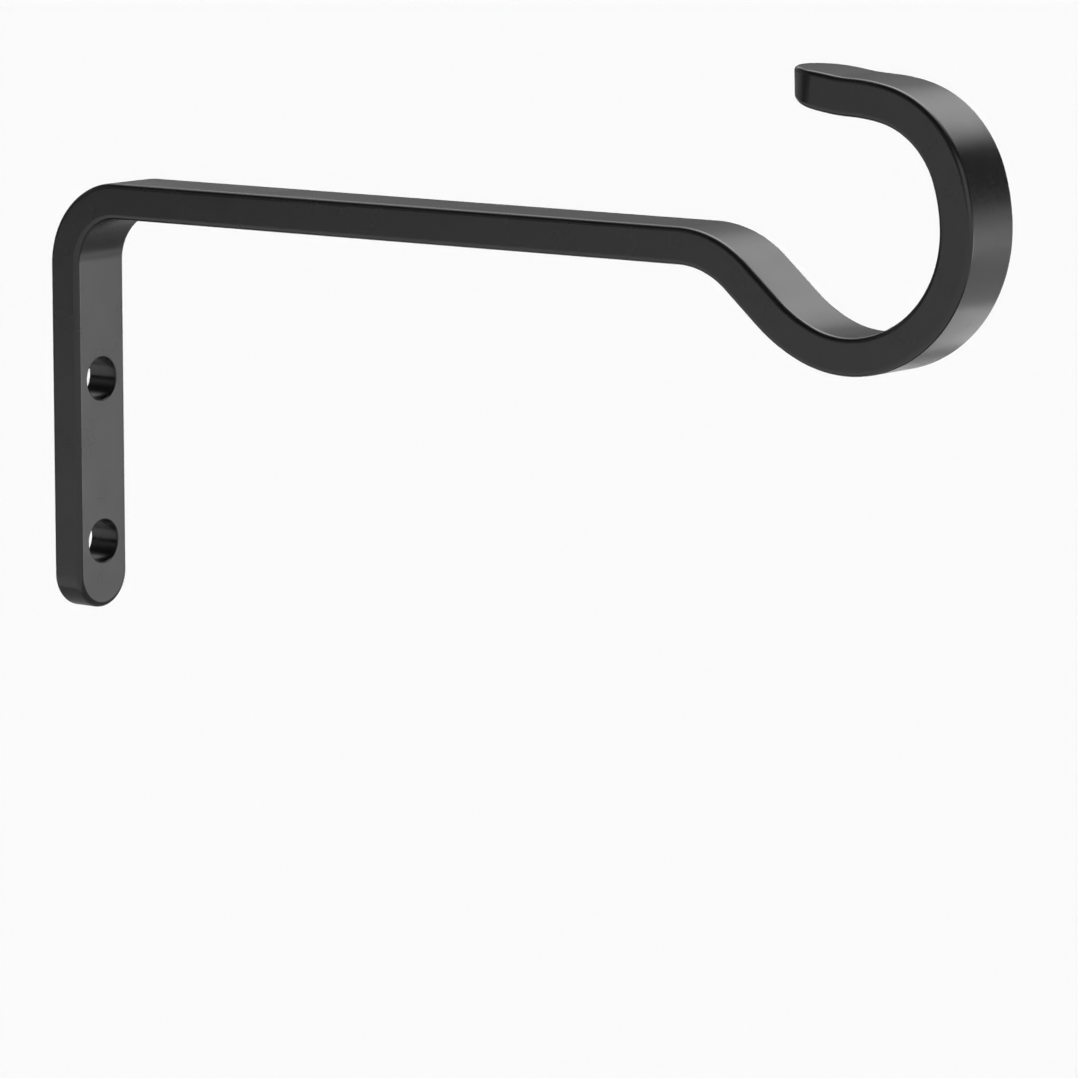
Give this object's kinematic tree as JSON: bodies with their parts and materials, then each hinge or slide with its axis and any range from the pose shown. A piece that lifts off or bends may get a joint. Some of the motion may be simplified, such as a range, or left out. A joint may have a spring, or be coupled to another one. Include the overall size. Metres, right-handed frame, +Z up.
{
  "type": "wall plant hook",
  "caption": "Wall bracket bent from one flat black steel bar: a drilled leg that screws to a wall, a level arm and a round upturned hook for a hanging planter.",
  "frame": {"origin": "on the leg's back face, which lies on the wall, midway between the two screw holes", "axes": "+X straight out of the wall, along the arm; +Y across the bar's width; +Z up the leg"},
  "size_m": [0.1534, 0.01, 0.0819],
  "materials": {
    "black_powder_coat": "satin"
  },
  "bodies": {
    "root": {"hook_bar": "black_powder_coat"}
  },
  "joints": []
}
